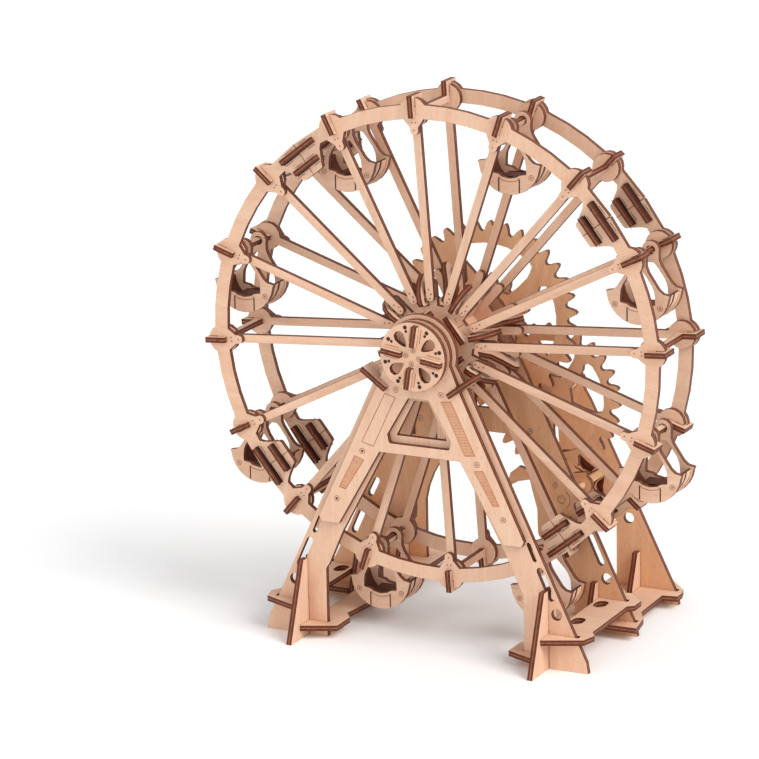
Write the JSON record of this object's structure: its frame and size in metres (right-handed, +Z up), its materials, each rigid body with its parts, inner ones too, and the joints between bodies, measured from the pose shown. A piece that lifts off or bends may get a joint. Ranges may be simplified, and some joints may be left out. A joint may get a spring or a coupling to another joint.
{
  "type": "wooden ferris wheel puzzle",
  "caption": "Model ferris wheel of laser-cut plywood sheet: a turning wheel with hanging cabins on a stand of three A-frames, driven by gears and a crank.",
  "frame": {"origin": "on the ground, under the axle, in the middle plane of the wheel", "axes": "+X to the right of the front frame, +Y to the rear along the axle, +Z up"},
  "size_m": [0.27, 0.1636, 0.2955],
  "materials": {
    "plywood": "bare birch plywood with dark laser-burnt edges",
    "dowel": "bare round birch dowel"
  },
  "bodies": {
    "stand": {"front_frame": "plywood", "front_facing": "plywood", "clamp_left": "plywood", "clamp_right": "plywood", "middle_frame": "plywood", "rear_frame": "plywood", "upper_base_left": "plywood", "upper_base_right": "plywood", "lower_base_left": "plywood", "lower_base_right": "plywood", "foot_front_left": "plywood", "foot_front_right": "plywood", "foot_middle_left": "plywood", "foot_middle_right": "plywood", "foot_rear_left": "plywood", "foot_rear_right": "plywood", "frame_tie_left": "plywood", "frame_tie_right": "plywood"},
    "wheel": {"ring_front_1": "plywood", "ring_front_2": "plywood", "ring_front_3": "plywood", "ring_front_4": "plywood", "ring_rear_1": "plywood", "ring_rear_2": "plywood", "ring_rear_3": "plywood", "ring_rear_4": "plywood", "hub_plate_front": "plywood", "hub_plate_rear": "plywood", "hub_core": "plywood", "wheel_axle": "dowel", "tie_bar_1": "plywood", "tie_bar_2": "plywood", "tie_bar_3": "plywood", "tie_bar_4": "plywood", "tie_bar_5": "plywood", "tie_bar_6": "plywood", "tie_bar_7": "plywood", "tie_bar_8": "plywood", "cabin_axle_1": "plywood", "cabin_axle_2": "plywood", "cabin_axle_3": "plywood", "cabin_axle_4": "plywood", "cabin_axle_5": "plywood", "cabin_axle_6": "plywood", "cabin_axle_7": "plywood", "cabin_axle_8": "plywood", "hub_cap": "plywood", "wheel_gear": "plywood", "wheel_pinion": "plywood"},
    "drive": {"drive_gear": "plywood", "crank": "plywood"},
    "stop_lever": {"stop_lever": "plywood"},
    "cabin_1": {"cabin_1": "plywood"},
    "cabin_2": {"cabin_2": "plywood"},
    "cabin_3": {"cabin_3": "plywood"},
    "cabin_4": {"cabin_4": "plywood"},
    "cabin_5": {"cabin_5": "plywood"},
    "cabin_6": {"cabin_6": "plywood"},
    "cabin_7": {"cabin_7": "plywood"},
    "cabin_8": {"cabin_8": "plywood"}
  },
  "joints": [
    {"name": "wheel_spin", "type": "hinge", "parent": "stand", "child": "wheel", "pos_m": [0, 0, 0.1627], "axis": [0, -1, 0], "continuous": true},
    {"name": "drive_spin", "type": "hinge", "parent": "stand", "child": "drive", "pos_m": [0.03178, 0.058, 0.1183], "axis": [0, -1, 0], "continuous": true},
    {"name": "stop_lever_swing", "type": "hinge", "parent": "stand", "child": "stop_lever", "pos_m": [0.0502, 0.058, 0.071], "axis": [0, -1, 0], "range_deg": [-4, 12]},
    {"name": "cabin_1_swing", "type": "hinge", "parent": "wheel", "child": "cabin_1", "pos_m": [-0.05524, 0, 0.27316], "axis": [0, -1, 0], "continuous": true},
    {"name": "cabin_2_swing", "type": "hinge", "parent": "wheel", "child": "cabin_2", "pos_m": [-0.11717, 0, 0.20174], "axis": [0, -1, 0], "continuous": true},
    {"name": "cabin_3_swing", "type": "hinge", "parent": "wheel", "child": "cabin_3", "pos_m": [-0.11046, 0, 0.10746], "axis": [0, -1, 0], "continuous": true},
    {"name": "cabin_4_swing", "type": "hinge", "parent": "wheel", "child": "cabin_4", "pos_m": [-0.03904, 0, 0.04553], "axis": [0, -1, 0], "continuous": true},
    {"name": "cabin_5_swing", "type": "hinge", "parent": "wheel", "child": "cabin_5", "pos_m": [0.05524, 0, 0.05224], "axis": [0, -1, 0], "continuous": true},
    {"name": "cabin_6_swing", "type": "hinge", "parent": "wheel", "child": "cabin_6", "pos_m": [0.11717, 0, 0.12366], "axis": [0, -1, 0], "continuous": true},
    {"name": "cabin_7_swing", "type": "hinge", "parent": "wheel", "child": "cabin_7", "pos_m": [0.11046, 0, 0.21794], "axis": [0, -1, 0], "continuous": true},
    {"name": "cabin_8_swing", "type": "hinge", "parent": "wheel", "child": "cabin_8", "pos_m": [0.03904, 0, 0.27987], "axis": [0, -1, 0], "continuous": true}
  ],
  "couplings": [
    {"joint": "drive_spin", "follows": "wheel_spin", "ratio": -0.44444}
  ]
}
